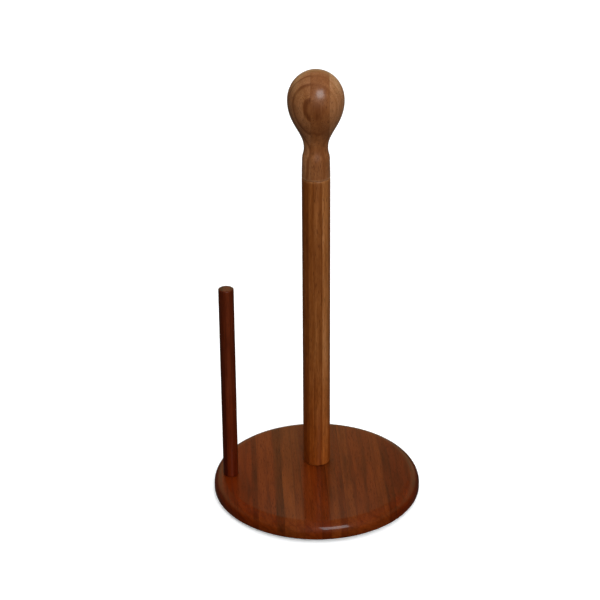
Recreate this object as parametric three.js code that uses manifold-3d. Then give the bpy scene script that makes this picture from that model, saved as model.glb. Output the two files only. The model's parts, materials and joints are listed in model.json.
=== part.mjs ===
// Paper towel holder: a round board on four pads, an upright post with a turned knob that
// unscrews from it, and a short tear rod beside the roll. Millimetres, +Z up. The origin is on
// the table, under the middle of the board, and the front of the holder faces -Y.
import * as THREE from "three";
import { mergeVertices } from "three/addons/utils/BufferGeometryUtils.js";
import Module from "manifold-3d";

const FIT_GAP = 0.3; // clearance between two pieces that meet

// Board and its pads
const BOARD_RADIUS = 80;
const BOARD_THICKNESS = 12.5;
const TOP_RIM_RADIUS = 8.5; // rounding of the upper edge
const BOTTOM_RIM_RADIUS = 1.5; // rounding of the lower edge
const PAD_RADIUS = 7;
const PAD_HEIGHT = 2;
const PAD_EDGE = 0.5; // chamfer round the face a pad stands on
const PAD_CIRCLE_RADIUS = 62; // the circle that the pads sit on
const PAD_COUNT = 4;

// Post and tear rod: plain round dowels
const POST_PLACE = { x: 0, y: 16.5 };
const POST_RADIUS = 10.5;
const POST_LENGTH = 238;
const ROD_PLACE = { x: -66.8, y: -5 };
const ROD_RADIUS = 5.8;
const ROD_LENGTH = 158.5;
const ROD_TOP_EDGE = 0.9; // rounding of the rod's upper edge

// Knob, with heights counted from its own lower face
const COLLAR_RADIUS = 10.25; // at the top of the collar; at its foot it matches the post
const COLLAR_HEIGHT = 13.5;
const NECK_RADIUS = 8.9;
const NECK_HEIGHT = 23;
const BULB_RADIUS = 20.7;
const BULB_HEIGHT = 58.8; // of the widest ring
const BULB_CROWN = 22.1; // from the widest ring up to the top
const BULB_PULL = 17.2; // how far the bulb stays wide below its widest ring
const NECK_PULL = 12.1; // how far the neck stays slim above its narrowest ring

// M8 stud between knob and post, in a threaded insert
const STUD_RADIUS = 4;
const STUD_IN_KNOB = 18;
const STUD_IN_POST = 16;
const STUD_CHAMFER = 0.8;
const TOP_INSERT_RADIUS = 6;
const TOP_INSERT_LENGTH = 18;
const TOP_INSERT_DEPTH = 0.5; // below the post's upper face
const HOLE_SPARE = 1.5; // extra depth of a blind hole beyond what sits in it

// M6 bolt, washer and insert that hold the post to the board
const BOLT_RADIUS = 3;
const BOLT_LENGTH = 30;
const BOLT_HEAD_RADIUS = 5.7;
const BOLT_HEAD_HEIGHT = 3.5;
const BOLT_HEAD_EDGE = 1;
const BOLT_SOCKET_RADIUS = 2.3; // to the corners of the hexagon
const BOLT_SOCKET_DEPTH = 2;
const WASHER_RADIUS = 7.5;
const WASHER_THICKNESS = 1.2;
const COUNTERBORE_RADIUS = 8.5;
const COUNTERBORE_DEPTH = 6.5;
const FOOT_INSERT_RADIUS = 5;
const FOOT_INSERT_LENGTH = 16;
const FOOT_INSERT_DEPTH = 1; // above the post's lower face

// Countersunk wood screw that holds the tear rod to the board
const SCREW_RADIUS = 2;
const SCREW_LENGTH = 32;
const SCREW_POINT = 5;
const SCREW_HEAD_RADIUS = 4;
const SCREW_HEAD_HEIGHT = 2.2;
const SCREW_SUNK = 0.6; // the head lies this far inside the board
const SCREW_SLOT_LENGTH = 4.4;
const SCREW_SLOT_WIDTH = 0.9;
const SCREW_SLOT_DEPTH = 1.4;

// Facets round each kind of round piece
const BOARD_FACETS = 96;
const DOWEL_FACETS = 48;
const KNOB_FACETS = 48;
const FASTENER_FACETS = 24;
const HEXAGON = 6;
const ARC_STEPS = 2;
const CURVE_STEPS = 7;

// Levels above the table
const BOARD_BOTTOM = PAD_HEIGHT + FIT_GAP;
const BOARD_TOP = BOARD_BOTTOM + BOARD_THICKNESS;
const POST_FOOT = BOARD_TOP + FIT_GAP;
const POST_TOP = POST_FOOT + POST_LENGTH;
const KNOB_FOOT = POST_TOP + FIT_GAP;
const BOLT_SEAT = BOARD_BOTTOM + COUNTERBORE_DEPTH; // roof of the counterbore
const BOLT_HEAD_TOP = BOLT_SEAT - WASHER_THICKNESS - 2 * FIT_GAP;

const wood = (color, roughness) => new THREE.MeshStandardMaterial({ color, roughness, metalness: 0 });
const metal = (color, roughness) => new THREE.MeshStandardMaterial({ color, roughness, metalness: 1 });
const BOARD_WOOD = wood(0x6b3a22, 0.3);
const POST_WOOD = wood(0x74421f, 0.42);
const KNOB_WOOD = wood(0x87573a, 0.4);
const ROD_WOOD = wood(0x46180c, 0.4);
const BRASS = metal(0xb08d4a, 0.35);
const STEEL = metal(0xb4b6b8, 0.3);
const RUBBER = new THREE.MeshStandardMaterial({ color: 0x1c1b1a, roughness: 0.85, metalness: 0 });

const wasm = await Module();
wasm.setup();

// A closed geometry as a solid that can be cut.
function toSolid(geometry) {
  const shell = geometry.clone();
  shell.deleteAttribute("normal");
  shell.deleteAttribute("uv");
  const merged = mergeVertices(shell);
  const vertProperties = merged.getAttribute("position").array;
  const triVerts = new Uint32Array(merged.index.array);
  return new wasm.Manifold(new wasm.Mesh({ numProp: 3, vertProperties, triVerts }));
}

function toGeometry(solid) {
  const { vertProperties, triVerts } = solid.getMesh();
  const geometry = new THREE.BufferGeometry();
  geometry.setAttribute("position", new THREE.BufferAttribute(vertProperties, 3));
  geometry.setIndex(new THREE.BufferAttribute(triVerts, 1));
  geometry.computeVertexNormals();
  return geometry;
}

// One geometry with the others taken out of it.
function cut(geometry, ...tools) {
  const rest = tools.reduce((solid, tool) => solid.subtract(toSolid(tool)), toSolid(geometry));
  return toGeometry(rest);
}

// A profile of radius against height, given upwards, turned about the Z axis.
function turned(profile, facets) {
  return new THREE.LatheGeometry(profile, facets).rotateX(Math.PI / 2);
}

// A closed stack of rings, each [radius, height], turned about the Z axis.
function turnedRings(rings, facets) {
  const profile = rings.map(([radius, height]) => new THREE.Vector2(radius, height));
  return turned(profile, facets);
}

// An upright cylinder from one height to another.
function cylinder(radius, bottom, top, facets = FASTENER_FACETS) {
  const height = top - bottom;
  const solid = new THREE.CylinderGeometry(radius, radius, height, facets).rotateX(Math.PI / 2);
  return solid.translate(0, 0, bottom + height / 2);
}

// An upright tube from one height to another.
function tube(innerRadius, outerRadius, bottom, top) {
  const rings = [
    [innerRadius, bottom],
    [outerRadius, bottom],
    [outerRadius, top],
    [innerRadius, top],
    [innerRadius, bottom],
  ];
  return turnedRings(rings, FASTENER_FACETS);
}

function named(name, geometry, material) {
  const mesh = new THREE.Mesh(geometry, material);
  mesh.name = name;
  return mesh;
}

function boardBlank() {
  const profile = new THREE.Path();
  const quarter = Math.PI / 2;
  profile.moveTo(0, BOARD_BOTTOM);
  profile.lineTo(BOARD_RADIUS - BOTTOM_RIM_RADIUS, BOARD_BOTTOM);
  profile.absarc(
    BOARD_RADIUS - BOTTOM_RIM_RADIUS, BOARD_BOTTOM + BOTTOM_RIM_RADIUS, BOTTOM_RIM_RADIUS, -quarter, 0,
  );
  profile.absarc(
    BOARD_RADIUS - TOP_RIM_RADIUS, BOARD_TOP - TOP_RIM_RADIUS, TOP_RIM_RADIUS, 0, quarter,
  );
  profile.lineTo(0, BOARD_TOP);
  return turned(profile.getPoints(ARC_STEPS), BOARD_FACETS);
}

// The board has a counterbored hole for the post's bolt and a countersunk one for the rod's screw.
function board() {
  const through = BOARD_TOP + FIT_GAP;
  const below = BOARD_BOTTOM - FIT_GAP;
  const headFoot = BOARD_BOTTOM + SCREW_SUNK;
  const countersink = turnedRings([
    [0, below],
    [SCREW_HEAD_RADIUS + FIT_GAP, below],
    [SCREW_HEAD_RADIUS + FIT_GAP, headFoot],
    [SCREW_RADIUS + FIT_GAP, headFoot + SCREW_HEAD_HEIGHT + FIT_GAP],
    [SCREW_RADIUS + FIT_GAP, through],
    [0, through],
  ], FASTENER_FACETS);
  const geometry = cut(
    boardBlank(),
    cylinder(COUNTERBORE_RADIUS, below, BOLT_SEAT).translate(POST_PLACE.x, POST_PLACE.y, 0),
    cylinder(BOLT_RADIUS + FIT_GAP, below, through).translate(POST_PLACE.x, POST_PLACE.y, 0),
    countersink.translate(ROD_PLACE.x, ROD_PLACE.y, 0),
  );
  return named("base_board", geometry, BOARD_WOOD);
}

function footPads() {
  const pads = new THREE.Group();
  for (let i = 0; i < PAD_COUNT; i += 1) {
    const angle = ((i + 0.5) * 2 * Math.PI) / PAD_COUNT;
    const geometry = turnedRings([
      [0, 0],
      [PAD_RADIUS - PAD_EDGE, 0],
      [PAD_RADIUS, PAD_EDGE],
      [PAD_RADIUS, PAD_HEIGHT],
      [0, PAD_HEIGHT],
    ], FASTENER_FACETS);
    const pad = named(`foot_pad_${i + 1}`, geometry, RUBBER);
    pad.position.set(PAD_CIRCLE_RADIUS * Math.cos(angle), PAD_CIRCLE_RADIUS * Math.sin(angle), 0);
    pads.add(pad);
  }
  return pads;
}

// The post has a blind hole in each end for its threaded inserts.
function post() {
  const footHole = BOLT_HEAD_TOP + BOLT_LENGTH + HOLE_SPARE;
  const topHole = POST_TOP - TOP_INSERT_DEPTH - TOP_INSERT_LENGTH - HOLE_SPARE;
  const geometry = cut(
    cylinder(POST_RADIUS, POST_FOOT, POST_TOP, DOWEL_FACETS),
    cylinder(FOOT_INSERT_RADIUS + FIT_GAP, POST_FOOT - FIT_GAP, footHole),
    cylinder(TOP_INSERT_RADIUS + FIT_GAP, topHole, POST_TOP + FIT_GAP),
  );
  return named("post", geometry, POST_WOOD);
}

function postFootInsert() {
  const bottom = POST_FOOT + FOOT_INSERT_DEPTH;
  const geometry = tube(BOLT_RADIUS + FIT_GAP, FOOT_INSERT_RADIUS, bottom, bottom + FOOT_INSERT_LENGTH);
  return named("post_foot_insert", geometry, BRASS);
}

function postTopInsert() {
  const top = POST_TOP - TOP_INSERT_DEPTH;
  const geometry = tube(STUD_RADIUS + FIT_GAP, TOP_INSERT_RADIUS, top - TOP_INSERT_LENGTH, top);
  return named("post_top_insert", geometry, BRASS);
}

function postBolt() {
  const headFoot = BOLT_HEAD_TOP - BOLT_HEAD_HEIGHT;
  const body = turnedRings([
    [0, headFoot],
    [BOLT_HEAD_RADIUS - BOLT_HEAD_EDGE, headFoot],
    [BOLT_HEAD_RADIUS, headFoot + BOLT_HEAD_EDGE],
    [BOLT_HEAD_RADIUS, BOLT_HEAD_TOP],
    [BOLT_RADIUS, BOLT_HEAD_TOP],
    [BOLT_RADIUS, BOLT_HEAD_TOP + BOLT_LENGTH],
    [0, BOLT_HEAD_TOP + BOLT_LENGTH],
  ], FASTENER_FACETS);
  const socket = cylinder(BOLT_SOCKET_RADIUS, headFoot - FIT_GAP, headFoot + BOLT_SOCKET_DEPTH, HEXAGON);
  return named("post_bolt", cut(body, socket), STEEL);
}

function postBoltWasher() {
  const top = BOLT_SEAT - FIT_GAP;
  const geometry = tube(BOLT_RADIUS + FIT_GAP, WASHER_RADIUS, top - WASHER_THICKNESS, top);
  return named("post_bolt_washer", geometry, STEEL);
}

// The knob's outline: a straight collar, a slim neck and a bulb with a rounded crown.
function knobOutline() {
  const shoulder = (COLLAR_HEIGHT + NECK_HEIGHT) / 2;
  const outline = new THREE.Path();
  outline.moveTo(POST_RADIUS, 0);
  outline.lineTo(COLLAR_RADIUS, COLLAR_HEIGHT);
  outline.bezierCurveTo(COLLAR_RADIUS, shoulder, NECK_RADIUS, shoulder, NECK_RADIUS, NECK_HEIGHT);
  outline.bezierCurveTo(
    NECK_RADIUS, NECK_HEIGHT + NECK_PULL, BULB_RADIUS, BULB_HEIGHT - BULB_PULL, BULB_RADIUS, BULB_HEIGHT,
  );
  outline.absellipse(0, BULB_HEIGHT, BULB_RADIUS, BULB_CROWN, 0, Math.PI / 2);
  return outline.getPoints(CURVE_STEPS);
}

function knob() {
  const bore = STUD_RADIUS + FIT_GAP;
  const boreTop = STUD_IN_KNOB + HOLE_SPARE;
  const profile = [
    new THREE.Vector2(0, boreTop),
    new THREE.Vector2(bore, boreTop),
    new THREE.Vector2(bore, 0),
    ...knobOutline(),
  ];
  profile.at(-1).x = 0;
  const mesh = named("knob", turned(profile, KNOB_FACETS), KNOB_WOOD);
  mesh.position.z = KNOB_FOOT;
  return mesh;
}

function knobStud() {
  const bottom = KNOB_FOOT - STUD_IN_POST;
  const top = KNOB_FOOT + STUD_IN_KNOB;
  const geometry = turnedRings([
    [0, bottom],
    [STUD_RADIUS - STUD_CHAMFER, bottom],
    [STUD_RADIUS, bottom + STUD_CHAMFER],
    [STUD_RADIUS, top - STUD_CHAMFER],
    [STUD_RADIUS - STUD_CHAMFER, top],
    [0, top],
  ], FASTENER_FACETS);
  return named("knob_stud", geometry, STEEL);
}

// The rod has a flat top with a softened edge and a pilot hole in its foot.
function tearRod() {
  const top = POST_FOOT + ROD_LENGTH;
  const holeTop = BOARD_BOTTOM + SCREW_SUNK + SCREW_LENGTH + HOLE_SPARE;
  const profile = new THREE.Path();
  profile.moveTo(0, POST_FOOT);
  profile.lineTo(ROD_RADIUS, POST_FOOT);
  profile.absarc(ROD_RADIUS - ROD_TOP_EDGE, top - ROD_TOP_EDGE, ROD_TOP_EDGE, 0, Math.PI / 2);
  profile.lineTo(0, top);
  const geometry = cut(
    turned(profile.getPoints(ARC_STEPS), DOWEL_FACETS),
    cylinder(SCREW_RADIUS + FIT_GAP, POST_FOOT - FIT_GAP, holeTop),
  );
  return named("tear_rod", geometry, ROD_WOOD);
}

function tearRodScrew() {
  const foot = BOARD_BOTTOM + SCREW_SUNK;
  const tip = foot + SCREW_LENGTH;
  const body = turnedRings([
    [0, foot],
    [SCREW_HEAD_RADIUS, foot],
    [SCREW_RADIUS, foot + SCREW_HEAD_HEIGHT],
    [SCREW_RADIUS, tip - SCREW_POINT],
    [0, tip],
  ], FASTENER_FACETS);
  const slotHeight = 2 * SCREW_SLOT_DEPTH; // half of each box is outside the head
  const along = new THREE.BoxGeometry(SCREW_SLOT_LENGTH, SCREW_SLOT_WIDTH, slotHeight).translate(0, 0, foot);
  const across = new THREE.BoxGeometry(SCREW_SLOT_WIDTH, SCREW_SLOT_LENGTH, slotHeight).translate(0, 0, foot);
  return named("tear_rod_screw", cut(body, along, across), STEEL);
}

const postLine = new THREE.Group();
postLine.position.set(POST_PLACE.x, POST_PLACE.y, 0);
postLine.add(post(), postFootInsert(), postBolt(), postBoltWasher(), postTopInsert(), knobStud(), knob());

const rodLine = new THREE.Group();
rodLine.position.set(ROD_PLACE.x, ROD_PLACE.y, 0);
rodLine.add(tearRod(), tearRodScrew());

const group = new THREE.Group();
group.add(board(), footPads(), postLine, rodLine);

export default group;
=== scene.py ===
"""Looks of the paper towel holder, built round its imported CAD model.

Metres, +Z up, the front of the holder faces -Y. Every wooden piece is a closed turned shape with a
solid wood material: its growth rings, fibres and pores run through the piece, so they meet at every
edge. The bolt, the screw, the stud and the inserts have real helical threads.
"""

import json
import math

import bmesh
import bpy
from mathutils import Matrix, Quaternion, Vector

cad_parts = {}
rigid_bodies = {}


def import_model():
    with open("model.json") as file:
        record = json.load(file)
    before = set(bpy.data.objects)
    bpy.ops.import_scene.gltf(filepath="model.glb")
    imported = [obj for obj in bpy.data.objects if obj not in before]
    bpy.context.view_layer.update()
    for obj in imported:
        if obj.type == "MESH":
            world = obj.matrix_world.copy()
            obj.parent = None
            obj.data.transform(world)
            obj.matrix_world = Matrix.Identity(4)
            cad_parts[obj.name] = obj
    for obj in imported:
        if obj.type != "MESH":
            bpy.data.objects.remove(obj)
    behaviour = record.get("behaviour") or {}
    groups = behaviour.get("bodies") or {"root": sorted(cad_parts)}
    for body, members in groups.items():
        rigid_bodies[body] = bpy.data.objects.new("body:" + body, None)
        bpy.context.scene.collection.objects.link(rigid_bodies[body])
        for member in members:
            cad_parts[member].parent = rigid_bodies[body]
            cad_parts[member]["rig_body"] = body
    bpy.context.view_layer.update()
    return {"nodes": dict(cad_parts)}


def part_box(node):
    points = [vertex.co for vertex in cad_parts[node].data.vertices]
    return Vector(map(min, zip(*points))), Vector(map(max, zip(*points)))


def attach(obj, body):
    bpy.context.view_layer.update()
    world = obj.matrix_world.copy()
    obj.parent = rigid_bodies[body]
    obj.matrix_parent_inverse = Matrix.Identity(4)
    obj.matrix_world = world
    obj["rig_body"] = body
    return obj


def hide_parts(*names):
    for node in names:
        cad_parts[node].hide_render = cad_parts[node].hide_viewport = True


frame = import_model()

MM = 0.001
TURN = 2 * math.pi

# Camera, measured from the middle of the board's upper face
CAMERA_DISTANCE = 1.32
CAMERA_ELEVATION = math.radians(31.04)
CAMERA_PITCH = math.radians(-25.26)
CAMERA_YAW = math.radians(-0.615)
CAMERA_ROLL = math.radians(-0.4)
CAMERA_LENS = 100.8  # mm
CAMERA_SENSOR = 36.0  # mm

# Facets round each kind of piece, and steps along its curves
BOARD_FACETS = 256
WOOD_FACETS = 128
WASHER_FACETS = 96
METAL_FACETS = 48
ROUNDING_STEPS = 8
CURVE_STEPS = 32
HARD_EDGE = math.radians(35)  # faces that meet at more than this keep a hard edge
TINY = 1e-9  # a radius below this is a single point on the axis

# Room in the wood round its fastenings
CLEARANCE = 0.3 * MM  # beside them, and above the bolt's washer
HOLE_SPARE = 1.5 * MM  # beyond their ends

# Threads
CREST_RISE = 1.375  # a thread's wave would rise this much, and is cut flat at 1
MACHINE_PITCH = 1.25 * MM  # of the stud, and inside both inserts

# The pale table is flat, then sweeps up. It gives off a little light, which grows with the distance.
FLOOR_FLAT = 6.0
SWEEP_RADIUS = 3.0
SWEEP_STEPS = 24
FLOOR_GLOW = 0.25  # up to GLOW_START from the middle
GLOW_START = 1.0
BACKDROP_GLOW = 0.97  # from GLOW_END on
GLOW_END = 3.0

# Wood: noise scales are per metre, and curves are points of (value, result).
LAYER_SPREAD = 5.0  # metres between the pieces of tree that two layers were cut from
GLUE_LINE = 0.3 * MM  # how far it reaches to each side
PALE_CORE = 14 * MM  # wood less deep than this turns paler and deeper wood darker, by the core weight
RING_CURVE = [(0.0, 0.1), (0.12, 0.0), (0.62, 0.2), (0.86, 1.0), (0.95, 0.8), (1.0, 0.1)]
RING_MIDDLE = 0.3  # a ring darkens where its curve is above this, and turns paler below it
PORE_CURVE = [(0.33, 1.0), (0.43, 0.0)]
LATE_PORES = 0.4  # share of the pores that is left in late wood
DARK_FINISH = 0.35  # of the darkest tone, for filled pores and glue
WEAR_SCALE = (70, 70, 45)
WEAR_CURVE = [(0.52, 0.0), (0.7, 1.0)]
WEAR_PALENESS = 0.06
# Painted highlight: wood within this reach of the post's top edge and the knob's foot is made paler in
# streaks, for the key lamp's highlight on the eased edge at the joint.
EDGE_HIGHLIGHT_REACH = 1.9 * MM
EDGE_HIGHLIGHT_STREAKS = 1.1  # the painted highlight shows by this much of the streak noise, less the loss on the next line
EDGE_HIGHLIGHT_LOSS = 0.2
WOOD_SPECULAR = 0.08  # under the coat of finish
COAT_IOR = 1.5
WOOD_RELIEF = {"Distance": 0.06 * MM, "Strength": 0.6}

WOOD_FIGURE = {  # noise scales run across, deep and along the grain
    "blotch": (34, 34, 13), "streak": (230, 230, 22), "fibre": (800, 800, 34), "pores": (2600, 2600, 190),
    "bend": 1.8, "ring_width": 4.4 * MM, "ring_weight": 0.12, "streak_weight": 0.44, "fibre_weight": 0.36,
    "blotch_weight": 0.5, "pore_weight": 0.36, "glue_weight": 0.3, "core_weight": 0.0, "turned": 0.0,
}

BOARD_TURN = math.radians(-3)  # the strips run a little off the line from front to back
BOARD_LAYERS = [  # millimetres wide, tone, warmth, turn, phase, strength
    (18, 0.48, 1.0, 0.8, 0.1, 0.7), (11, 0.51, 1.0, 0.3, 0.6, 0.9), (4, 0.35, 0.9, 0.9, 0.2, 0.5),
    (13.5, 0.57, 0.7, 0.5, 0.8, 0.8), (6, 0.37, 0.4, 0.9, 0.4, 0.5), (8.5, 0.61, 0.3, 0.25, 0.3, 0.9),
    (6, 0.54, 0.4, 0.6, 0.5, 0.7), (8, 0.55, 0.7, 0.3, 0.8, 1.0), (5, 0.51, 0.8, 0.7, 0.9, 0.6),
    (6.5, 0.41, 0.8, 0.9, 0.7, 0.6), (7.5, 0.54, 0.4, 0.4, 0.2, 0.7), (5, 0.40, 0.6, 0.8, 0.2, 0.6),
    (7, 0.54, 0.4, 0.35, 0.5, 0.9), (18, 0.49, 0.6, 0.3, 0.1, 1.0), (7.5, 0.51, 0.5, 0.6, 0.4, 0.8),
    (6, 0.33, 0.8, 0.9, 0.6, 0.6), (22.5, 0.40, 0.95, 0.4, 0.9, 0.8),
]
POST_LAYERS = [
    (4.8, 0.40, 0.5, 0.8, 0.0, 0.7), (3.8, 0.58, 0.4, 0.5, 0.4, 1.0), (6.3, 0.53, 0.2, 0.3, 0.7, 1.0),
    (4.5, 0.76, 0.1, 0.6, 0.2, 0.8), (1.6, 0.58, 0.3, 0.8, 0.5, 0.6),
]
KNOB_LAYERS = [
    (16.9, 0.56, 0.2, 0.06, 0.87, 1.6), (13.4, 0.47, 0.4, 0.0, 0.88, 0.6),
    (11.1, 0.74, 0.1, 0.08, 0.75, 0.6),
]
ROD_LAYERS = [
    (3.6, 0.39, 0.4, 0.4, 0.0, 0.8), (5.2, 0.61, 0.3, 0.4, 0.5, 1.0), (2.8, 0.43, 0.7, 0.6, 0.2, 0.8),
]


# ---------------------------------------------------------------- shapes

def middle(node):
    """The point in the middle of a CAD node's box, on the table's level."""
    low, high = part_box(node)
    return Vector(((low.x + high.x) / 2, (low.y + high.y) / 2, 0))


def level(node):
    """The lowest and highest Z of a CAD node."""
    low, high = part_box(node)
    return low.z, high.z


def half_width(node):
    """The radius of a round CAD node."""
    low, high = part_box(node)
    return (high.x - low.x) / 2


def arc(centre_r, centre_z, radius, start, end, steps=ROUNDING_STEPS):
    """Rows along an arc, its angles in degrees from the radial direction."""
    rows = []
    for i in range(steps + 1):
        angle = math.radians(start + (end - start) * i / steps)
        rows.append((centre_r + radius * math.cos(angle), centre_z + radius * math.sin(angle)))
    return rows


def bezier(p0, p1, p2, p3, steps):
    """Rows along a cubic curve from p0 to p3."""
    rows = []
    for i in range(steps + 1):
        t = i / steps
        weights = ((1 - t) ** 3, 3 * (1 - t) ** 2 * t, 3 * (1 - t) * t * t, t ** 3)
        points = (p0, p1, p2, p3)
        rows.append(tuple(sum(w * p[k] for w, p in zip(weights, points)) for k in (0, 1)))
    return rows


def ring(mesh, radius, height, place, facets):
    """The vertices of one row: a ring, or a single one on the axis."""
    if not callable(radius) and radius < TINY:
        return [mesh.verts.new(place + Vector((0, 0, height)))]
    verts = []
    for i in range(facets):
        angle = TURN * i / facets
        r = radius(angle, height) if callable(radius) else radius
        verts.append(mesh.verts.new(place + Vector((r * math.cos(angle), r * math.sin(angle), height))))
    return verts


def revolve(name, rows, place, facets=WOOD_FACETS, closed=False):
    """A mesh turned about an upright axis through place.

    rows are (radius, height). They run from the axis back to the axis round a solid, from the axis
    outwards for a sheet, and in a loop if closed. A radius may be a function of the angle and the
    height, for threads and sockets.
    """
    mesh = bmesh.new()
    rings = [ring(mesh, radius, height, place, facets) for radius, height in rows]
    pairs = list(zip(rings[:-1], rings[1:]))
    if closed:
        pairs.append((rings[-1], rings[0]))
    for lower, upper in pairs:
        for i in range(facets):
            corners = [lower[i % len(lower)], lower[(i + 1) % len(lower)],
                       upper[(i + 1) % len(upper)], upper[i % len(upper)]]
            mesh.faces.new(list(dict.fromkeys(corners)))
    bmesh.ops.recalc_face_normals(mesh, faces=mesh.faces)
    data = bpy.data.meshes.new(name)
    mesh.to_mesh(data)
    mesh.free()
    return finished(name, data)


def finished(name, data):
    """An object with smooth faces, and hard edges where two faces meet at a sharp angle."""
    data.polygons.foreach_set("use_smooth", [True] * len(data.polygons))
    data.set_sharp_from_angle(angle=HARD_EDGE)
    return placed(name, data)


def placed(name, data):
    """A new object in the scene."""
    thing = bpy.data.objects.new(name, data)
    bpy.context.scene.collection.objects.link(thing)
    return thing


def carve(piece, tools):
    """Cuts the closed tools out of the piece and removes them."""
    for tool in tools:
        cut = piece.modifiers.new("cut", "BOOLEAN")
        cut.operation = "DIFFERENCE"
        cut.solver = "EXACT"
        cut.object = tool
    bpy.context.view_layer.update()
    depsgraph = bpy.context.evaluated_depsgraph_get()
    data = bpy.data.meshes.new_from_object(piece.evaluated_get(depsgraph))
    name = piece.name
    for thing in [piece, *tools]:
        bpy.data.objects.remove(thing)
    return finished(name, data)


def thread(root, crest, pitch, start, end, fade):
    """A radius that climbs a right-hand helix, and runs out to its root over fade at both ends."""
    def radius(angle, height):
        phase = (height - start) / pitch - angle / TURN
        wave = 0.5 + 0.5 * math.cos(TURN * phase)
        ends = min((height - start) / fade, (end - height) / fade, 1)
        return root + (crest - root) * min(1, wave * CREST_RISE) * max(0, ends)
    return radius


def threaded_rows(root, crest, pitch, start, end, fade, per_turn=8):
    """Rows up an outside thread, with per_turn of them to each turn."""
    radius = thread(root, crest, pitch, start, end, fade)
    steps = round((end - start) / pitch * per_turn)
    return [(radius, start + (end - start) * i / steps) for i in range(steps + 1)]


def hexagon(corner):
    """The radius of a hexagonal hole."""
    flat = corner * math.cos(TURN / 12)
    return lambda angle, height: flat / math.cos((angle % (TURN / 6)) - TURN / 12)


def cross(arm, half):
    """The radius of a cross-shaped recess, its arms as long as arm and as wide as twice half."""
    def radius(angle, height):
        off = abs((angle + TURN / 8) % (TURN / 4) - TURN / 8)
        return min(arm, half / max(math.sin(off), TINY))
    return radius


# ---------------------------------------------------------------- nodes

def put(tree, kind, inputs=None, **settings):
    """A node with its settings, each input given as a value or as the socket that feeds it."""
    node = tree.nodes.new(kind)
    for key, value in settings.items():
        setattr(node, key, value)
    for key, value in (inputs or {}).items():
        if isinstance(value, bpy.types.NodeSocket):
            tree.links.new(value, node.inputs[key])
        else:
            node.inputs[key].default_value = value
    return node


def calc(tree, operation, *values):
    """The result of a Math node."""
    return put(tree, "ShaderNodeMath", dict(enumerate(values)), operation=operation).outputs[0]


def weighed(tree, total, parts):
    """The total with each part added to it, times the part's weight. Parts are (value, weight)."""
    for value, weight in parts:
        total = calc(tree, "MULTIPLY_ADD", value, weight, total)
    return total


def between(tree, value, start, end, low=0.0, high=1.0):
    """A number that goes from low to high while the value goes from start to end."""
    settings = {"Value": value, "From Min": start, "From Max": end, "To Min": low, "To Max": high}
    return put(tree, "ShaderNodeMapRange", settings).outputs[0]


def blend_by(tree, factor, first, second, how="MIX"):
    """Two colours mixed by factor."""
    inputs = {0: factor, 6: first, 7: second}
    return put(tree, "ShaderNodeMix", inputs, data_type="RGBA", blend_type=how).outputs[2]


def ramp(tree, factor, stops, interpolation="LINEAR"):
    """A colour read off a ramp. Stops are (position, colour)."""
    node = put(tree, "ShaderNodeValToRGB", {"Fac": factor})
    node.color_ramp.interpolation = interpolation
    elements = node.color_ramp.elements
    while len(elements) < len(stops):
        elements.new(0.5)
    for element, (position, colour) in zip(elements, stops):
        element.position = position
        element.color = (*colour, 1)
    return node.outputs["Color"]


def split(tree, colour):
    """The red, green and blue of a colour, as three numbers."""
    return put(tree, "ShaderNodeSeparateColor", {0: colour}).outputs


def curve(tree, value, points, interpolation="LINEAR"):
    """A number read off a curve. Points are (value, result)."""
    stops = [(position, (result, result, result)) for position, result in points]
    return split(tree, ramp(tree, value, stops, interpolation))["Red"]


def object_place(tree):
    """Where a point is in its own object, in metres."""
    return put(tree, "ShaderNodeTexCoord").outputs["Object"]


def noise(tree, vector, stretch, detail=3.0, roughness=0.55):
    """Noise in a vector whose three parts are stretched by their own scales, per metre."""
    scaled = put(tree, "ShaderNodeVectorMath", {0: vector, 1: stretch}, operation="MULTIPLY").outputs[0]
    settings = {"Vector": scaled, "Scale": 1.0, "Detail": detail, "Roughness": roughness}
    return put(tree, "ShaderNodeTexNoise", settings).outputs["Fac"]


def srgb(red, green, blue):
    """A linear colour from a screen colour of 0 to 255."""
    def linear(value):
        value /= 255
        return value / 12.92 if value <= 0.04045 else ((value + 0.055) / 1.055) ** 2.4
    return tuple(linear(v) for v in (red, green, blue))


def new_material(name):
    """An empty material and its node tree."""
    material = bpy.data.materials.new(name)
    material.use_nodes = True
    tree = material.node_tree
    tree.nodes.clear()
    return material, tree


def shade(tree, inputs, relief=None):
    """The surface shader and the output. Relief is the Height, Distance and Strength of a bump."""
    if relief:
        inputs = {**inputs, "Normal": put(tree, "ShaderNodeBump", relief).outputs[0]}
    shader = put(tree, "ShaderNodeBsdfPrincipled", inputs)
    put(tree, "ShaderNodeOutputMaterial", {"Surface": shader.outputs[0]})


# ---------------------------------------------------------------- wood

def wood_place(tree, along, axis, turned):
    """How far a point lies across the layers, deep in them and along the grain, from the axis."""
    place = put(tree, "ShaderNodeVectorRotate", {"Vector": object_place(tree), "Angle": turned},
                rotation_type="Z_AXIS").outputs[0]
    parts = put(tree, "ShaderNodeSeparateXYZ", {0: place}).outputs
    across = calc(tree, "SUBTRACT", parts["X"], axis[0])
    length, deep = (parts["Y"], parts["Z"]) if along == "Y" else (parts["Z"], parts["Y"])
    return across, calc(tree, "SUBTRACT", deep, axis[1]), length


def layer_bands(tree, across, layers):
    """Bands of constant colour across X, one to a layer.

    The first hold each layer's tone, warmth and own number, and the second its rings' turn, phase
    and strength.
    """
    total = sum(layer[0] for layer in layers)
    share = calc(tree, "MULTIPLY_ADD", across, 1 / total, 0.5)
    looks, cuts, edge = [], [], 0.0
    for number, (width, tone, warmth, turn, phase, strength) in enumerate(layers):
        looks.append((edge / total, (tone, warmth, (number + 1) / (len(layers) + 1))))
        cuts.append((edge / total, (turn, phase, strength)))
        edge += width
    return [split(tree, ramp(tree, share, bands, "CONSTANT")) for bands in (looks, cuts)]


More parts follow.
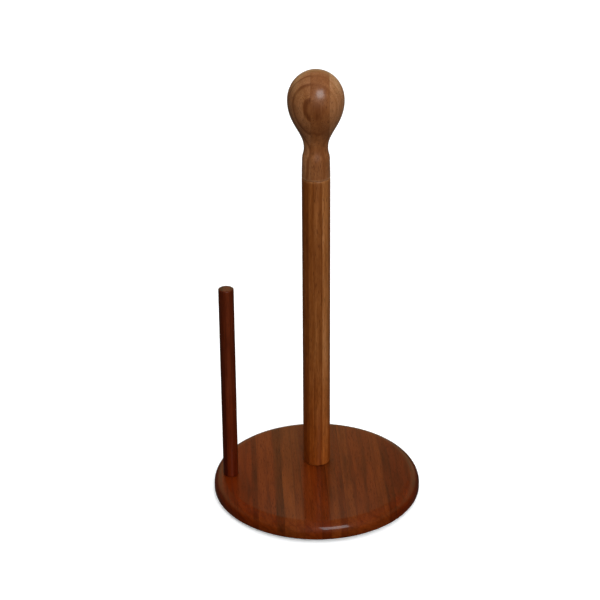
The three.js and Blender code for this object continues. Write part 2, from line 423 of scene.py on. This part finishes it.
def wood_fields(tree, own, figure):
    """Noise that more than one part of the look needs, and where the finish is worn."""
    return {
        "blotch": noise(tree, own, figure["blotch"], detail=2.0),
        "streak": noise(tree, own, figure["streak"], detail=4.0),
        "fibre": noise(tree, own, figure["fibre"], detail=4.0, roughness=0.65),
        "worn": curve(tree, noise(tree, own, WEAR_SCALE, detail=5.0, roughness=0.7), WEAR_CURVE),
    }


def growth_rings(tree, across, deep, cut, blotch, figure):
    """Late wood, in sheets turned by each layer's own angle and bent slowly along the grain."""
    angle = calc(tree, "MULTIPLY", cut["Red"], TURN / 4)
    depth = calc(tree, "ADD",
                 calc(tree, "MULTIPLY", across, calc(tree, "SINE", angle)),
                 calc(tree, "MULTIPLY", deep, calc(tree, "COSINE", angle)))
    bend = calc(tree, "MULTIPLY_ADD", blotch, figure["bend"], cut["Green"])
    rings = calc(tree, "FRACT", calc(tree, "MULTIPLY_ADD", depth, 1 / figure["ring_width"], bend))
    return curve(tree, rings, RING_CURVE, "EASE")


def wood_tone(tree, look, cut, deep, late, fields, figure):
    """The layer's own tone, changed by its rings, a paler core and the noise."""
    rings = calc(tree, "MULTIPLY", calc(tree, "SUBTRACT", RING_MIDDLE, late), cut["Blue"])
    core = calc(tree, "SUBTRACT", PALE_CORE, calc(tree, "ABSOLUTE", deep))
    parts = [(rings, figure["ring_weight"]), (core, figure["core_weight"])]
    for key in ("streak", "fibre", "blotch"):
        parts.append((calc(tree, "SUBTRACT", fields[key], 0.5), figure[key + "_weight"]))
    return weighed(tree, look["Red"], parts)


def open_pores(tree, own, late, figure):
    """Pores, which lie mostly in the early wood."""
    pores = curve(tree, noise(tree, own, figure["pores"], detail=1.0, roughness=0.4), PORE_CURVE)
    return calc(tree, "MULTIPLY", pores, calc(tree, "MULTIPLY_ADD", late, LATE_PORES - 1, 1.0))


def glue_lines(tree, across, layers):
    """A fine line where two layers meet."""
    edge = -sum(layer[0] for layer in layers) / 2
    glue = 0.0
    for width, *_ in layers[:-1]:
        edge += width
        off = calc(tree, "ABSOLUTE", calc(tree, "SUBTRACT", across, edge))
        glue = calc(tree, "MAXIMUM", glue, between(tree, off, GLUE_LINE, 0.0))
    return glue


def painted_edge_highlight(tree, length, edge_level, streak):
    """A painted highlight: the wood near an edge at this level, made paler in streaks."""
    off = calc(tree, "ABSOLUTE", calc(tree, "SUBTRACT", length, edge_level))
    patchy = calc(tree, "MULTIPLY_ADD", streak, EDGE_HIGHLIGHT_STREAKS, -EDGE_HIGHLIGHT_LOSS)
    return calc(tree, "MULTIPLY", between(tree, off, EDGE_HIGHLIGHT_REACH, 0.0), patchy)


def finish_wood(tree, colour, gloss, late, pores, fields):
    """A coat of finish over a surface that is rougher in its pores and where it is worn."""
    uneven = [(fields["fibre"], 0.2), (pores, 0.15), (fields["worn"], 0.12)]
    rough = weighed(tree, gloss["smoothest"], uneven)
    height = weighed(tree, 0.0, [(fields["fibre"], 0.5), (pores, -0.8), (late, -0.2)])
    surface = {
        "Base Color": colour,
        "Roughness": rough,
        "Specular IOR Level": WOOD_SPECULAR,
        "Coat Weight": gloss["coat"],
        "Coat Roughness": gloss["coat_roughness"],
        "Coat IOR": COAT_IOR,
    }
    shade(tree, surface, {"Height": height, **WOOD_RELIEF})


def wood(name, along, layers, palette, figure, gloss, warm, axis=(0, 0)):
    """Solid wood glued up from layers across X, with the grain along Y or Z.

    layers run from -X to +X. Each is (width in mm, tone, warmth, ring turn, ring phase, ring
    strength). A tone of 0 is the darkest of the palette and 1 the palest, a warmth of 1 tints the
    layer fully with warm, and a turn of 0 lays the rings square to the depth and 1 square to X.
    """
    material, tree = new_material(name)
    layers = [(layer[0] * MM, *layer[1:]) for layer in layers]
    across, deep, length = wood_place(tree, along, axis, figure["turned"])
    look, cut = layer_bands(tree, across, layers)
    number = calc(tree, "MULTIPLY", look["Blue"], LAYER_SPREAD)
    own = put(tree, "ShaderNodeCombineXYZ", {"X": across, "Y": calc(tree, "ADD", deep, number),
                                             "Z": calc(tree, "ADD", length, number)}).outputs[0]
    fields = wood_fields(tree, own, figure)
    late = growth_rings(tree, across, deep, cut, fields["blotch"], figure)
    pores = open_pores(tree, own, late, figure)

    tone = wood_tone(tree, look, cut, deep, late, fields, figure)
    steps = len(palette) - 1
    colour = ramp(tree, tone, [(i / steps, c) for i, c in enumerate(palette)])
    colour = blend_by(tree, look["Green"], colour, (*warm, 1), "MULTIPLY")
    # Painted reflected light: the colour is tinted toward the foot, fading out over the reach, for the
    # board's colour reflected onto the piece.
    if "board_reflection_tint" in figure:
        foot = between(tree, length, figure["board_reflection_reach"], 0.0)
        colour = blend_by(tree, foot, colour, (*figure["board_reflection_tint"], 1), "MULTIPLY")

    dark = (*(c * DARK_FINISH for c in palette[0]), 1)
    palest = (*palette[-1], 1)
    for cover, strength, top in ((pores, figure["pore_weight"], dark),
                                 (glue_lines(tree, across, layers), figure["glue_weight"], dark),
                                 (fields["worn"], WEAR_PALENESS, palest)):
        colour = blend_by(tree, calc(tree, "MULTIPLY", cover, strength), colour, top)
    # Painted highlight: a pale band in streaks along the joint's edge.
    if "edge_highlight_level" in figure:
        edge_highlight = painted_edge_highlight(tree, length, figure["edge_highlight_level"], fields["streak"])
        colour = blend_by(tree, edge_highlight, colour, palest)
    finish_wood(tree, colour, gloss, late, pores, fields)
    return material


def board_wood():
    palette = [srgb(36, 13, 2), srgb(61, 25, 4), srgb(86, 38, 8), srgb(107, 53, 17), srgb(130, 74, 32)]
    gloss = {"smoothest": 0.3, "coat": 0.45, "coat_roughness": 0.09}
    figure = {**WOOD_FIGURE, "turned": BOARD_TURN}
    return wood("board_wood", "Y", BOARD_LAYERS, palette, figure, gloss, (1.0, 0.54, 0.12))


def post_wood():
    place = middle("post")
    palette = [srgb(56, 24, 6), srgb(84, 41, 12), srgb(111, 62, 25), srgb(136, 84, 43), srgb(162, 110, 68)]
    # Painted reflected light: the tint toward the foot is the board's colour reflected onto the post.
    figure = {**WOOD_FIGURE, "streak": (420, 420, 26), "fibre": (1000, 1000, 60), "blotch": (60, 60, 16),
              "bend": 0.8, "ring_width": 3.2 * MM, "streak_weight": 0.54, "fibre_weight": 0.46,
              "blotch_weight": 0.3, "pore_weight": 0.5, "board_reflection_tint": (0.95, 0.6, 0.25),
              # Painted highlight: a pale band along the top edge, at the joint.
              "board_reflection_reach": 120 * MM, "edge_highlight_level": level("post")[1]}
    gloss = {"smoothest": 0.35, "coat": 0.4, "coat_roughness": 0.2}
    return wood("post_wood", "Z", POST_LAYERS, palette, figure, gloss, (1.0, 0.8, 0.5), (place.x, place.y))


def knob_wood():
    place = middle("knob")
    palette = [srgb(64, 30, 10), srgb(92, 50, 23), srgb(120, 74, 41), srgb(144, 97, 62), srgb(170, 126, 90)]
    figure = {**WOOD_FIGURE, "streak": (260, 260, 22), "fibre": (800, 800, 45), "blotch": (52, 52, 24),
              "bend": 0.7, "ring_width": 6.0 * MM, "ring_weight": 0.22, "streak_weight": 0.36,
              "pores": (2600, 2600, 330), "pore_weight": 0.6, "core_weight": 10.0, "blotch_weight": 0.34,
              # Painted highlight: a pale band along the foot edge, at the joint.
              "edge_highlight_level": level("knob")[0]}
    gloss = {"smoothest": 0.32, "coat": 0.84, "coat_roughness": 0.24}
    return wood("knob_wood", "Z", KNOB_LAYERS, palette, figure, gloss, (1.0, 0.82, 0.6), (place.x, place.y))


def rod_wood():
    place = middle("tear_rod")
    palette = [srgb(22, 6, 1), srgb(44, 13, 4), srgb(70, 25, 9), srgb(92, 39, 17), srgb(116, 58, 32)]
    # Painted reflected light: the tint toward the foot is the board's colour reflected onto the rod.
    figure = {**WOOD_FIGURE, "streak": (500, 500, 24), "fibre": (1200, 1200, 50), "bend": 0.6,
              "ring_width": 2.8 * MM, "board_reflection_tint": (1.15, 0.75, 0.45), "board_reflection_reach": 110 * MM}
    gloss = {"smoothest": 0.32, "coat": 0.4, "coat_roughness": 0.16}
    return wood("rod_wood", "Z", ROD_LAYERS, palette, figure, gloss, (1.0, 0.85, 0.6), (place.x, place.y))


# ---------------------------------------------------------------- metal and rubber

def metal(name, colour, tarnish, smoothest):
    """Turned or plated metal: fine tool rings, small stains and uneven gloss."""
    material, tree = new_material(name)
    place = object_place(tree)
    tool = noise(tree, place, (60, 60, 900), detail=2.0)
    stain = noise(tree, place, (300, 300, 300), detail=5.0, roughness=0.65)
    stained = curve(tree, stain, [(0.4, 0.0), (0.72, 1.0)])
    base = blend_by(tree, stained, (*colour, 1), (*tarnish, 1))
    rough = calc(tree, "MULTIPLY_ADD", stain, 0.25, smoothest)
    shade(tree, {"Base Color": base, "Metallic": 1.0, "Roughness": rough},
          {"Height": tool, "Distance": 0.03 * MM, "Strength": 0.4})
    return material


def rubber():
    """Dark rubber with a fine grain and a little dust."""
    material, tree = new_material("pad_rubber")
    place = object_place(tree)
    grain = noise(tree, place, (2500, 2500, 2500), detail=4.0, roughness=0.6)
    dust = noise(tree, place, (180, 180, 180), detail=4.0)
    colour = blend_by(tree, dust, (*srgb(22, 21, 20), 1), (*srgb(44, 42, 40), 1))
    rough = calc(tree, "MULTIPLY_ADD", dust, 0.2, 0.65)
    shade(tree, {"Base Color": colour, "Roughness": rough, "Specular IOR Level": 0.3},
          {"Height": grain, "Distance": 0.05 * MM, "Strength": 0.5})
    return material


# ---------------------------------------------------------------- pieces

def keep(piece, node, material):
    """The piece stands for its CAD node, on the node's own body."""
    piece.data.materials.clear()
    piece.data.materials.append(material)
    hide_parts(node)
    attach(piece, frame["nodes"][node]["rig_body"])


def board():
    """A disc with a rounded rim, drilled for the bolt and the wood screw."""
    bottom, top = level("base_board")
    radius = half_width("base_board")
    upper, lower = 8.5 * MM, 1.5 * MM  # radii of the rim's two edges
    support = 0.6 * MM
    rows = [(0, bottom), (radius / 2, bottom), (radius - lower - support, bottom)]
    rows += arc(radius - lower, bottom + lower, lower, -90, 0)
    rows += arc(radius - upper, top - upper, upper, 0, 90, 2 * ROUNDING_STEPS)
    rows += [(radius - upper - support, top), (radius / 2, top), (0, top)]
    blank = revolve("board", rows, Vector((0, 0, 0)), BOARD_FACETS)
    below, above = bottom - MM, top + MM
    return carve(blank, [bolt_hole(below, above), screw_hole(below, above)])


def bolt_hole(below, above):
    """A hole wide enough for the washer up to its level, then a little wider than the bolt."""
    wide, narrow = 8.5 * MM, 0.66 * half_width("post_foot_insert")
    step = level("post_bolt_washer")[1] + CLEARANCE
    rows = [(0, below), (wide, below), (wide, step), (narrow, step), (narrow, above), (0, above)]
    return revolve("bolt_hole", rows, middle("post_bolt"), METAL_FACETS)


def screw_hole(below, above):
    """A countersunk hole, a little wider than the wood screw."""
    head_low = level("tear_rod_screw")[0]
    mouth, sink, narrow = 5.2 * MM, 4.3 * MM, 2.3 * MM
    sink_low, sink_high = head_low + 0.2 * MM, head_low + 2.5 * MM
    rows = [(0, below), (mouth, below), (sink, sink_low), (narrow, sink_high), (narrow, above), (0, above)]
    return revolve("screw_hole", rows, middle("tear_rod_screw"), METAL_FACETS)


def dowel(name, node, foot_hole, top_hole, foot_edge, top_edge):
    """An upright dowel with eased ends. Each hole is (radius, level of its end), or None at the top."""
    bottom, top = level(node)
    radius = half_width(node)
    hole, end = foot_hole
    rows = [(0, end), (hole, end), (hole, bottom)]
    rows += arc(radius - foot_edge, bottom + foot_edge, foot_edge, -90, 0)
    rows += arc(radius - top_edge, top - top_edge, top_edge, 0, 90)
    if top_hole:
        hole, end = top_hole
        rows += [(hole, top), (hole, end), (0, end)]
    else:
        rows += [(radius * 0.6, top), (0, top)]
    return revolve(name, rows, middle(node))


def post():
    """The post, with a blind hole for an insert in each end."""
    foot_hole = (half_width("post_foot_insert") + CLEARANCE, level("post_bolt")[1] + HOLE_SPARE)
    top_hole = (half_width("post_top_insert") + CLEARANCE, level("post_top_insert")[0] - HOLE_SPARE)
    return dowel("post_dowel", "post", foot_hole, top_hole, foot_edge=0.3 * MM, top_edge=0.7 * MM)


def rod():
    """The tear rod, with a hole for the wood screw in its foot."""
    foot_hole = (0.57 * half_width("tear_rod_screw"), level("tear_rod_screw")[1] + HOLE_SPARE)
    return dowel("tear_rod_dowel", "tear_rod", foot_hole, None, foot_edge=0.3 * MM, top_edge=0.9 * MM)


def knob():
    """A collar as wide as the post, a slim neck and a bulb, with a blind hole for the stud."""
    bottom, top = level("knob")
    bulb, foot = half_width("knob"), half_width("post")
    hole, hole_end = half_width("knob_stud") + CLEARANCE, level("knob_stud")[1] + HOLE_SPARE
    edge, support = 0.35 * MM, 0.4 * MM
    collar, collar_top = 10.25 * MM, bottom + 13.5 * MM
    neck, neck_level = 8.9 * MM, bottom + 23 * MM
    widest = bottom + 58.8 * MM
    neck_pull, bulb_pull = 12.1 * MM, 17.2 * MM  # how far the bulb's curve stays slim, and stays wide
    shoulder = (collar_top + neck_level) / 2
    rows = [(0, hole_end), (hole, hole_end), (hole, bottom), (foot - edge - support, bottom)]
    rows += arc(foot - edge, bottom + edge, edge, -90, 0, 4)
    rows += [(collar, collar_top - MM)]
    rows += bezier((collar, collar_top), (collar, shoulder), (neck, shoulder), (neck, neck_level), 14)
    rows += bezier((neck, neck_level), (neck, neck_level + neck_pull), (bulb, widest - bulb_pull),
                   (bulb, widest), CURVE_STEPS)[1:]
    for i in range(1, CURVE_STEPS):
        angle = TURN / 4 * i / CURVE_STEPS
        rows.append((bulb * math.cos(angle), widest + (top - widest) * math.sin(angle)))
    rows.append((0, top))
    return revolve("knob_turning", rows, middle("knob"))


def pads(material):
    """Round rubber feet, each with a shallow dish in its underside."""
    edge, dish_depth, ease = 0.5 * MM, 0.35 * MM, 0.1 * MM
    for node in sorted(n for n in frame["nodes"] if n.startswith("foot_pad")):
        bottom, top = level(node)
        radius = half_width(node)
        rows = [(0, bottom + dish_depth), (radius * 0.45, bottom + dish_depth), (radius * 0.5, bottom)]
        rows += arc(radius - edge, bottom + edge, edge, -90, 0, 5)
        rows += [(radius - ease, top - ease), (radius - 3 * ease, top), (0, top)]
        keep(revolve(node + "_rubber", rows, middle(node), METAL_FACETS), node, material)


def insert(name, node, screw_radius):
    """A brass insert: coarse thread outside, machine thread inside."""
    bottom, top = level(node)
    outer, outer_depth, outer_pitch = half_width(node), 0.9 * MM, 2.5 * MM
    root, crest, ease = screw_radius + 0.28 * MM, screw_radius + 0.05 * MM, 0.5 * MM
    rows = threaded_rows(outer - outer_depth, outer, outer_pitch, bottom, top, MM, per_turn=10)
    inner = thread(root, crest, MACHINE_PITCH, bottom, top, ease)
    steps = 60
    rows += [(inner, top - (top - bottom) * i / steps) for i in range(steps + 1)]
    return revolve(name, rows, middle(node), METAL_FACETS, closed=True)


def stud():
    """A headless stud, threaded all the way."""
    bottom, top = level("knob_stud")
    radius, chamfer, plain = half_width("knob_stud"), 0.9 * MM, 0.2 * MM
    root, crest = radius - 0.72 * MM, radius - 0.03 * MM
    rows = [(0, bottom), (radius - chamfer, bottom)]
    rows += threaded_rows(root, crest, MACHINE_PITCH, bottom + plain, top - plain, chamfer)
    rows += [(radius - chamfer, top), (0, top)]
    return revolve("knob_stud_thread", rows, middle("knob_stud"), METAL_FACETS)


def bolt():
    """A machine screw with a hexagonal socket in its head, and a short plain shank."""
    bottom, top = level("post_bolt")
    head, head_top, edge, ease = half_width("post_bolt"), bottom + 3.5 * MM, MM, 0.15 * MM
    socket, socket_end = hexagon(2.3 * MM), bottom + 2 * MM
    shank, shank_top = 3 * MM, head_top + 4 * MM
    root, pitch, fade, point = shank - 0.6 * MM, MM, 0.8 * MM, shank - 0.9 * MM
    start, end = shank_top + 0.2 * MM, top - 0.4 * MM
    rows = [(0, socket_end), (socket, socket_end), (socket, bottom), (head - 1.6 * edge, bottom)]
    rows += arc(head - edge, bottom + edge, edge, -75, 0, 6)
    rows += [(head, head_top - ease), (head - ease, head_top), (shank, head_top), (shank, shank_top)]
    rows += threaded_rows(root, shank, pitch, start, end, fade)
    rows += [(point, top), (0, top)]
    return revolve("post_bolt_socket_head", rows, middle("post_bolt"), METAL_FACETS)


def washer():
    """A flat washer with eased edges."""
    bottom, top = level("post_bolt_washer")
    outer, inner, edge = half_width("post_bolt_washer"), 3.3 * MM, 0.2 * MM
    rows = [(inner, bottom + edge), (inner + edge, bottom), (outer - edge, bottom), (outer, bottom + edge),
            (outer, top - edge), (outer - edge, top), (inner + edge, top), (inner, top - edge)]
    return revolve("post_bolt_plain_washer", rows, middle("post_bolt_washer"), WASHER_FACETS, closed=True)


def screw():
    """A wood screw with a cross recess in its countersunk head, and a thread that runs to a point."""
    bottom, top = level("tear_rod_screw")
    head, head_edge, head_top = half_width("tear_rod_screw"), bottom + 0.2 * MM, bottom + 2.6 * MM
    recess, recess_mouth = cross(0.9 * MM, 0.35 * MM), cross(2.2 * MM, 0.45 * MM)
    recess_end, recess_tip = bottom + 1.3 * MM, bottom + 1.5 * MM
    crest, pitch, fade, point = 2 * MM, 1.8 * MM, 1.2 * MM, 5 * MM
    shank, root, shank_top = 0.85 * crest, 0.62 * crest, bottom + 8 * MM
    start, end = bottom + 8.3 * MM, top - point
    rows = [(0, recess_tip), (recess, recess_end), (recess_mouth, bottom), (head - 0.15 * MM, bottom),
            (head, head_edge), (shank, head_top), (shank, shank_top)]
    rows += threaded_rows(root, crest, pitch, start, end, fade)
    tip, tip_steps = thread(root, crest, pitch, start, top + point, MM), 12

    def tapered(angle, height):
        return tip(angle, height) * max(0.05, (top - height) / point)
    rows += [(tapered, end + point * i / tip_steps) for i in range(1, tip_steps)]
    rows += [(0, top)]
    return revolve("tear_rod_wood_screw", rows, middle("tear_rod_screw"), METAL_FACETS)


def holder():
    """Every piece, with its material."""
    steel = metal("fastener_steel", srgb(186, 188, 190), srgb(132, 132, 130), 0.22)
    brass = metal("insert_brass", srgb(196, 160, 92), srgb(150, 112, 56), 0.24)
    keep(board(), "base_board", board_wood())
    keep(post(), "post", post_wood())
    keep(knob(), "knob", knob_wood())
    keep(rod(), "tear_rod", rod_wood())
    keep(insert("post_foot_brass", "post_foot_insert", 3 * MM), "post_foot_insert", brass)
    keep(insert("post_top_brass", "post_top_insert", 4 * MM), "post_top_insert", brass)
    keep(stud(), "knob_stud", steel)
    keep(bolt(), "post_bolt", steel)
    keep(washer(), "post_bolt_washer", steel)
    keep(screw(), "tear_rod_screw", steel)
    pads(rubber())


# ---------------------------------------------------------------- stage

def floor():
    """A pale table that sweeps up, well behind the lamps, to a pale backdrop all round."""
    material, tree = new_material("stage_floor")
    place = object_place(tree)
    cloud = noise(tree, place, (3, 3, 3), detail=2.0)
    colour = blend_by(tree, cloud, (0.92, 0.93, 0.96, 1), (0.95, 0.96, 0.98, 1))
    out = put(tree, "ShaderNodeVectorMath", {0: place}, operation="LENGTH").outputs["Value"]
    glow = between(tree, out, GLOW_START, GLOW_END, FLOOR_GLOW, BACKDROP_GLOW)
    shade(tree, {"Base Color": colour, "Roughness": 0.7, "Specular IOR Level": 0.2,
                 "Emission Color": (1, 1, 1, 1), "Emission Strength": glow})
    rows = [(0, 0), (FLOOR_FLAT / 2, 0)]
    rows += arc(FLOOR_FLAT, SWEEP_RADIUS, SWEEP_RADIUS, -90, 0, SWEEP_STEPS)
    sweep = revolve("stage_floor", rows, Vector((0, 0, 0)), BOARD_FACETS)
    sweep.data.materials.append(material)
    sweep.visible_glossy = False
    sweep.visible_diffuse = False
    sweep.visible_shadow = False


def lamp(name, azimuth, elevation, distance, size, power, aim, colour=(1, 1, 1)):
    """A square soft box that faces aim. Azimuth 0 is the front and 90 is the right."""
    data = bpy.data.lights.new(name, "AREA")
    data.shape = "RECTANGLE"
    data.size = size
    data.size_y = size
    data.energy = power
    data.color = colour
    thing = placed(name, data)
    side, up = math.radians(azimuth), math.radians(elevation)
    away = Vector((math.sin(side) * math.cos(up), -math.cos(side) * math.cos(up), math.sin(up)))
    thing.location = aim + away * distance
    thing.rotation_euler = away.to_track_quat("Z", "Y").to_euler()
    return thing


def lights():
    """One lamp that is seen in reflections, and two broad ones that are not."""
    high = Vector((0, 0, 0.3))
    low = Vector((0, 0, 0.1))
    lamp("key", azimuth=21, elevation=34, distance=2.1, size=1.0, power=19, aim=high,
         colour=(0.97, 0.98, 1.0))
    fill = lamp("fill", azimuth=8, elevation=18, distance=2.4, size=2.0, power=40, aim=low)
    wash = lamp("wash", azimuth=180, elevation=72, distance=3.2, size=8.0, power=250, aim=low,
                colour=(0.95, 0.97, 1.0))
    fill.visible_glossy = False
    wash.visible_glossy = False


def surroundings():
    """A dim room with a dark end in front of the holder, and a pale wall and panel behind it."""
    world = bpy.data.worlds.new("studio")
    world.use_nodes = True
    tree = world.node_tree
    tree.nodes.clear()
    direction = put(tree, "ShaderNodeTexCoord").outputs["Generated"]
    parts = put(tree, "ShaderNodeSeparateXYZ", {0: direction}).outputs
    height = calc(tree, "MULTIPLY_ADD", parts["Z"], 0.5, 0.5)  # 0 straight down, 1 straight up
    strength = calc(tree, "MULTIPLY_ADD", parts["Y"], 0.45, 0.55)  # 0.1 in front, 1 behind
    horizon, wall_foot, wall_top, ceiling_edge = 0.5, 0.6, 0.742, 0.756  # as heights
    ground, wall, ceiling = (0.05, 0.045, 0.04), (0.56, 0.48, 0.24), (0.12, 0.1, 0.035)
    shades = [(0.0, ground), (horizon, ground), (wall_foot, wall), (wall_top, wall),
              (ceiling_edge, ceiling), (1.0, ceiling)]
    room = ramp(tree, height, shades)

    # A small panel above the middle of the wall, with soft edges
    inside = between(tree, calc(tree, "ABSOLUTE", parts["X"]), 0.045, 0.02)
    above = between(tree, height, 0.761, 0.767)
    colour = blend_by(tree, calc(tree, "MULTIPLY", inside, above), room, (0.36, 0.42, 0.3, 1))
    back = put(tree, "ShaderNodeBackground", {"Color": colour, "Strength": strength})
    put(tree, "ShaderNodeOutputWorld", {"Surface": back.outputs[0]})
    bpy.context.scene.world = world
    bpy.context.scene.view_settings.view_transform = "Standard"


def camera():
    """The photograph's own viewpoint."""
    data = bpy.data.cameras.new("camera")
    data.lens = CAMERA_LENS
    data.sensor_width = CAMERA_SENSOR
    thing = placed("camera", data)
    top = level("base_board")[1]
    reach = CAMERA_DISTANCE * math.cos(CAMERA_ELEVATION)
    thing.location = (0, -reach, top + CAMERA_DISTANCE * math.sin(CAMERA_ELEVATION))
    ahead = Vector((math.sin(CAMERA_YAW) * math.cos(CAMERA_PITCH),
                    math.cos(CAMERA_YAW) * math.cos(CAMERA_PITCH), math.sin(CAMERA_PITCH)))
    straight = ahead.to_track_quat("-Z", "Y")
    thing.rotation_mode = "QUATERNION"
    thing.rotation_quaternion = straight @ Quaternion((0, 0, 1), CAMERA_ROLL)
    bpy.context.scene.camera = thing


camera()
holder()
floor()
lights()
surroundings()
